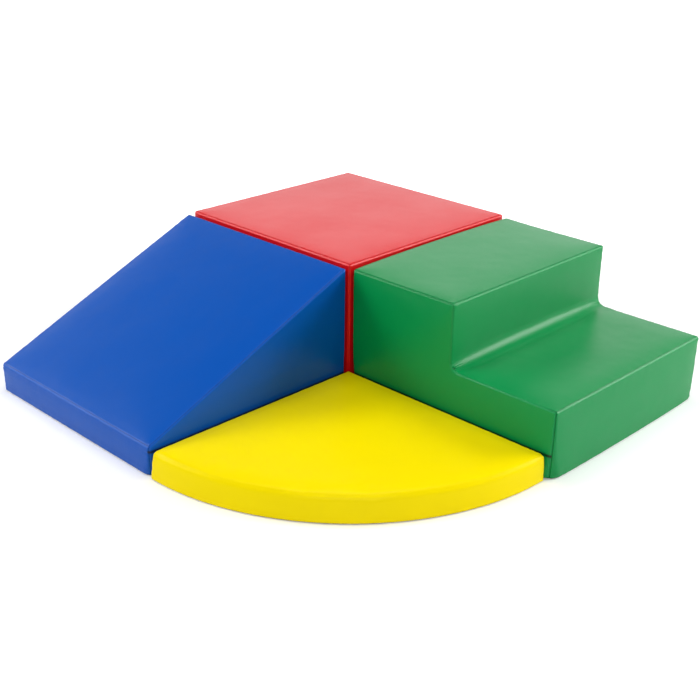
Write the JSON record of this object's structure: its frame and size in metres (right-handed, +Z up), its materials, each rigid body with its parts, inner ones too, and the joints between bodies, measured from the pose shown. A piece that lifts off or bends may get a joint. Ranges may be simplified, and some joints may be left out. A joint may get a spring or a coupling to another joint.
{
  "type": "soft play foam climber",
  "caption": "Corner climber of vinyl-covered foam: square corner block, ramp and two-step block set at a right angle, with a quarter-round landing mat between them.",
  "frame": {"origin": "on the floor under the middle of the whole set's bounding box", "axes": "+Z up, +X from the ramp towards the corner block, +Y from the steps towards the corner block; the mat lies in the -X -Y quarter"},
  "size_m": [1.0836, 1.0976, 0.308],
  "materials": {
    "red_vinyl": "satin",
    "blue_vinyl": "satin",
    "green_vinyl": "satin",
    "yellow_vinyl": "satin",
    "base_cloth": "matte",
    "foam": "matte",
    "hook_tape": "matte",
    "loop_tape": "matte",
    "zip_cloth": "matte",
    "zip_nylon": "satin",
    "zip_metal": "satin"
  },
  "bodies": {
    "corner_block": {"corner_top_panel": "red_vinyl", "corner_panel_to_ramp": "red_vinyl", "corner_panel_to_steps": "red_vinyl", "corner_back_panel": "red_vinyl", "corner_end_panel": "red_vinyl", "corner_bottom_panel": "base_cloth", "corner_foam_core": "foam", "corner_hook_strip_to_ramp": "hook_tape", "corner_hook_strip_to_steps": "hook_tape", "corner_zip_tape": "zip_cloth", "corner_zip_chain": "zip_nylon"},
    "ramp": {"ramp_slope_panel": "blue_vinyl", "ramp_lip_panel": "blue_vinyl", "ramp_mat_side_panel": "blue_vinyl", "ramp_outer_side_panel": "blue_vinyl", "ramp_back_panel": "blue_vinyl", "ramp_bottom_panel": "base_cloth", "ramp_foam_core": "foam", "ramp_hook_strip_to_mat": "hook_tape", "ramp_loop_strip_to_corner": "loop_tape", "ramp_zip_tape": "zip_cloth", "ramp_zip_chain": "zip_nylon"},
    "steps": {"steps_top_panel": "green_vinyl", "steps_riser_and_tread_panel": "green_vinyl", "steps_front_panel": "green_vinyl", "steps_mat_side_panel": "green_vinyl", "steps_outer_side_panel": "green_vinyl", "steps_back_panel": "green_vinyl", "steps_bottom_panel": "base_cloth", "steps_lower_foam_slab": "foam", "steps_upper_foam_block": "foam", "steps_hook_strip_to_mat": "hook_tape", "steps_loop_strip_to_corner": "loop_tape", "steps_zip_tape": "zip_cloth", "steps_zip_chain": "zip_nylon"},
    "mat": {"mat_top_panel": "yellow_vinyl", "mat_curved_band": "yellow_vinyl", "mat_band_to_ramp": "yellow_vinyl", "mat_band_to_steps": "yellow_vinyl", "mat_bottom_panel": "base_cloth", "mat_foam_core": "foam", "mat_loop_strip_to_ramp": "loop_tape", "mat_loop_strip_to_steps": "loop_tape", "mat_zip_tape": "zip_cloth", "mat_zip_chain": "zip_nylon"},
    "corner_slider": {"corner_zip_slider": "zip_metal"},
    "corner_pull": {"corner_zip_pull": "zip_metal"},
    "ramp_slider": {"ramp_zip_slider": "zip_metal"},
    "ramp_pull": {"ramp_zip_pull": "zip_metal"},
    "steps_slider": {"steps_zip_slider": "zip_metal"},
    "steps_pull": {"steps_zip_pull": "zip_metal"},
    "mat_slider": {"mat_zip_slider": "zip_metal"}
  },
  "joints": [
    {"name": "ramp_pull_away", "type": "slide", "parent": "corner_block", "child": "ramp", "axis": [-1, 0, 0], "range_m": [0, 0.6]},
    {"name": "steps_pull_away", "type": "slide", "parent": "corner_block", "child": "steps", "axis": [0, -1, 0], "range_m": [0, 0.6]},
    {"name": "mat_pull_out", "type": "slide", "parent": "corner_block", "child": "mat", "axis": [-0.7071, -0.7071, 0], "range_m": [0, 0.6]},
    {"name": "corner_zip_run", "type": "slide", "parent": "corner_block", "child": "corner_slider", "axis": [-1, 0, 0], "range_m": [0, 0.418]},
    {"name": "corner_pull_flip", "type": "hinge", "parent": "corner_slider", "child": "corner_pull", "pos_m": [0.47918, 0.54102, 0.034], "axis": [0, 0, -1], "range_deg": [0, 175]},
    {"name": "ramp_zip_run", "type": "slide", "parent": "ramp", "child": "ramp_slider", "axis": [-1, 0, 0], "range_m": [0, 0.418]},
    {"name": "ramp_pull_flip", "type": "hinge", "parent": "ramp_slider", "child": "ramp_pull", "pos_m": [-0.06413, 0.54702, 0.034], "axis": [0, 0, -1], "range_deg": [0, 175]},
    {"name": "steps_zip_run", "type": "slide", "parent": "steps", "child": "steps_slider", "axis": [0, 1, 0], "range_m": [0, 0.418]},
    {"name": "steps_pull_flip", "type": "hinge", "parent": "steps_slider", "child": "steps_pull", "pos_m": [0.54002, -0.48552, 0.034], "axis": [0, 0, -1], "range_deg": [0, 175]},
    {"name": "mat_zip_run", "type": "slide", "parent": "mat", "child": "mat_slider", "axis": [0, 1, 0], "range_m": [0, 0.379]}
  ]
}
